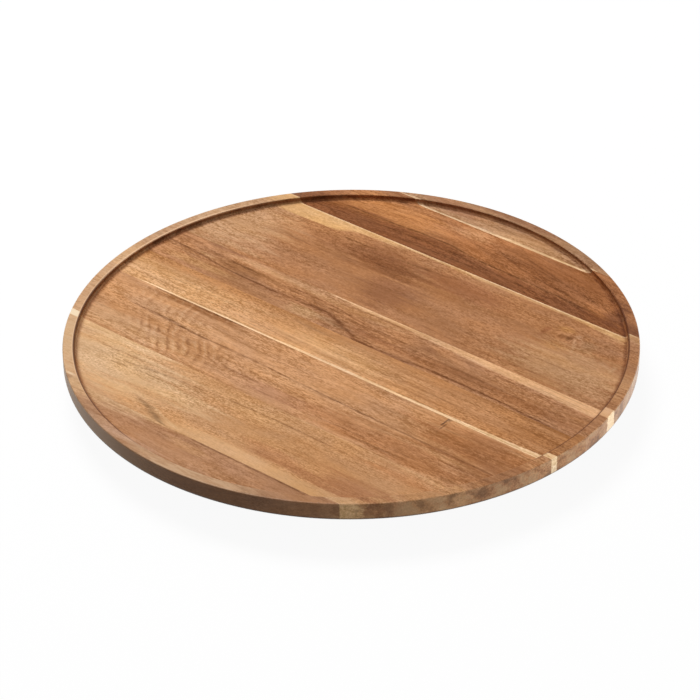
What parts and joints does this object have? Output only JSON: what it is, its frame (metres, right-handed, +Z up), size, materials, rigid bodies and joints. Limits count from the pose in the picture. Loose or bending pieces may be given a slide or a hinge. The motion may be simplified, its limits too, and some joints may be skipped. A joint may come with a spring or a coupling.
{
  "type": "lazy susan",
  "caption": "Round wooden lazy susan: a rimmed serving top of edge-glued boards that turns without limit on a pressed steel ball bearing above a smaller footed base.",
  "frame": {"origin": "middle of the table face under the feet, on the turning axis", "axes": "+Z up along the turning axis; +X along the boards of the top; +Y across them, from the near edge in the picture to the far edge"},
  "size_m": [0.457, 0.457, 0.041],
  "materials": {
    "top_wood_1": "oiled satin",
    "top_wood_2": "oiled satin",
    "top_wood_3": "oiled satin",
    "top_wood_4": "oiled satin",
    "top_wood_5": "oiled satin",
    "top_wood_6": "oiled satin",
    "top_wood_7": "oiled satin",
    "top_wood_8": "oiled satin",
    "base_wood": "oiled satin",
    "zinc_plate": "bright zinc",
    "ball_steel": "polished",
    "screw_steel": "zinc plated",
    "washer_steel": "zinc plated",
    "foot_rubber": "matt"
  },
  "bodies": {
    "base": {"base_board_1": "base_wood", "base_board_2": "base_wood", "base_board_3": "base_wood", "lower_bearing_plate": "zinc_plate", "lower_plate_screws": "screw_steel", "rubber_foot_1": "foot_rubber", "rubber_foot_2": "foot_rubber", "rubber_foot_3": "foot_rubber", "rubber_foot_4": "foot_rubber", "foot_washers": "washer_steel", "foot_screws": "screw_steel"},
    "turntable": {"top_board_1": "top_wood_1", "top_board_2": "top_wood_2", "top_board_3": "top_wood_3", "top_board_4": "top_wood_4", "top_board_5": "top_wood_5", "top_board_6": "top_wood_6", "top_board_7": "top_wood_7", "top_board_8": "top_wood_8", "upper_bearing_plate": "zinc_plate", "upper_plate_screws": "screw_steel"},
    "ball_ring": {"bearing_balls": "ball_steel"}
  },
  "joints": [
    {"name": "turntable_spin", "type": "hinge", "parent": "base", "child": "turntable", "pos_m": [0, 0, 0.022], "axis": [0, 0, 1], "continuous": true},
    {"name": "ball_orbit", "type": "hinge", "parent": "base", "child": "ball_ring", "pos_m": [0, 0, 0.022], "axis": [0, 0, 1], "continuous": true}
  ],
  "couplings": [
    {"joint": "ball_orbit", "follows": "turntable_spin", "ratio": 0.5}
  ]
}
